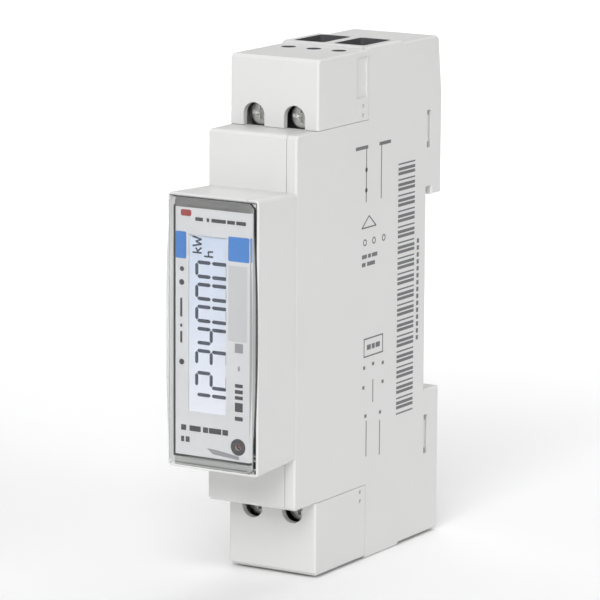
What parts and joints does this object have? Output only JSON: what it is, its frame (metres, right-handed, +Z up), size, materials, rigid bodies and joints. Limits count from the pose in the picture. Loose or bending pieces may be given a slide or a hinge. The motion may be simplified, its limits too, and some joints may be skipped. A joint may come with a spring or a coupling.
{
  "type": "rail-mounted electricity meter",
  "caption": "One-module rail-mounted electricity meter with stepped case, clear cap over a sideways counter, cage terminals and sliding rail latch.",
  "frame": {"origin": "centre of the rail seat, on the rail plane and the rail centreline", "axes": "+X to the right of someone facing the display, +Y toward the mounting panel, +Z up"},
  "size_m": [0.018, 0.0635, 0.0911],
  "materials": {
    "case_grey": "fine grain, light grey",
    "clear_cap": "clear glossy polycarbonate",
    "label_silver": "satin silver film",
    "display_glass": "polished",
    "frame_black": "moulded",
    "diffuser_white": "smooth",
    "tinned_metal": "tin plated",
    "led_red": "clear tinted",
    "spring_steel": "drawn wire",
    "board_green": "solder mask",
    "copper": "bare copper",
    "shunt_alloy": "resistance alloy",
    "polyester_film": "translucent film",
    "capacitor_box": "potted box",
    "capacitor_sleeve": "shrink sleeve",
    "varistor_coat": "epoxy dip",
    "chip_black": "moulded epoxy",
    "ferrite": "sintered",
    "insulator_dark": "glass-filled",
    "brass": "stamped",
    "ribbon_grey": "flat cable",
    "latch_plastic": "moulded",
    "screw_steel": "zinc plated",
    "cage_nickel": "nickel plated"
  },
  "bodies": {
    "case": {"housing_shell": "case_grey", "side_cover": "case_grey", "upper_terminal_cover": "case_grey", "lower_terminal_cover": "case_grey", "window_cap": "clear_cap", "face_label": "label_silver", "lcd_glass": "display_glass", "lcd_frame": "frame_black", "lcd_backlight": "diffuser_white", "lcd_pins": "tinned_metal", "pulse_led": "led_red", "touch_spring": "spring_steel", "display_board": "board_green", "board_header": "frame_black", "main_board": "board_green", "line_bar_upper": "copper", "current_shunt": "shunt_alloy", "line_bar_lower": "copper", "neutral_bar": "copper", "shunt_leads": "tinned_metal", "insulation_sheet": "polyester_film", "film_capacitor": "capacitor_box", "electrolytic_capacitor": "capacitor_sleeve", "varistor": "varistor_coat", "meter_chip": "chip_black", "quartz_crystal": "tinned_metal", "optocouplers": "chip_black", "inductor": "ferrite", "aux_terminal_block": "insulator_dark", "aux_contacts": "brass", "aux_ribbon": "ribbon_grey", "ribbon_connector": "insulator_dark", "din_clip_spring": "spring_steel", "upper_terminal_carrier": "insulator_dark", "lower_terminal_carrier": "insulator_dark"},
    "screw_upper_left": {"terminal_screw_upper_left": "screw_steel"},
    "cage_upper_left": {"terminal_cage_upper_left": "cage_nickel"},
    "screw_upper_right": {"terminal_screw_upper_right": "screw_steel"},
    "cage_upper_right": {"terminal_cage_upper_right": "cage_nickel"},
    "screw_lower_left": {"terminal_screw_lower_left": "screw_steel"},
    "cage_lower_left": {"terminal_cage_lower_left": "cage_nickel"},
    "screw_lower_right": {"terminal_screw_lower_right": "screw_steel"},
    "cage_lower_right": {"terminal_cage_lower_right": "cage_nickel"},
    "latch": {"din_clip": "latch_plastic"}
  },
  "joints": [
    {"name": "screw_turn_upper_left", "type": "hinge", "parent": "case", "child": "screw_upper_left", "pos_m": [-0.00405, -0.03, 0.03585], "axis": [0, 1, 0], "range_deg": [0, 3245]},
    {"name": "cage_rise_upper_left", "type": "slide", "parent": "case", "child": "cage_upper_left", "axis": [0, -1, 0], "range_m": [0, 0.0063]},
    {"name": "screw_turn_upper_right", "type": "hinge", "parent": "case", "child": "screw_upper_right", "pos_m": [0.00405, -0.03, 0.03585], "axis": [0, 1, 0], "range_deg": [0, 3245]},
    {"name": "cage_rise_upper_right", "type": "slide", "parent": "case", "child": "cage_upper_right", "axis": [0, -1, 0], "range_m": [0, 0.0063]},
    {"name": "screw_turn_lower_left", "type": "hinge", "parent": "case", "child": "screw_lower_left", "pos_m": [-0.00405, -0.03, -0.03295], "axis": [0, 1, 0], "range_deg": [0, 3245]},
    {"name": "cage_rise_lower_left", "type": "slide", "parent": "case", "child": "cage_lower_left", "axis": [0, -1, 0], "range_m": [0, 0.0063]},
    {"name": "screw_turn_lower_right", "type": "hinge", "parent": "case", "child": "screw_lower_right", "pos_m": [0.00405, -0.03, -0.03295], "axis": [0, 1, 0], "range_deg": [0, 3245]},
    {"name": "cage_rise_lower_right", "type": "slide", "parent": "case", "child": "cage_lower_right", "axis": [0, -1, 0], "range_m": [0, 0.0063]},
    {"name": "latch_slide", "type": "slide", "parent": "case", "child": "latch", "axis": [0, 0, -1], "range_m": [0, 0.0035], "stiffness_N_per_m": 1500, "springref_m": -0.002, "deforming": ["din_clip_spring"]}
  ],
  "couplings": [
    {"joint": "screw_turn_upper_left", "follows": "cage_rise_upper_left", "rad_per_m": 8976},
    {"joint": "screw_turn_upper_right", "follows": "cage_rise_upper_right", "rad_per_m": 8976},
    {"joint": "screw_turn_lower_left", "follows": "cage_rise_lower_left", "rad_per_m": 8976},
    {"joint": "screw_turn_lower_right", "follows": "cage_rise_lower_right", "rad_per_m": 8976}
  ]
}
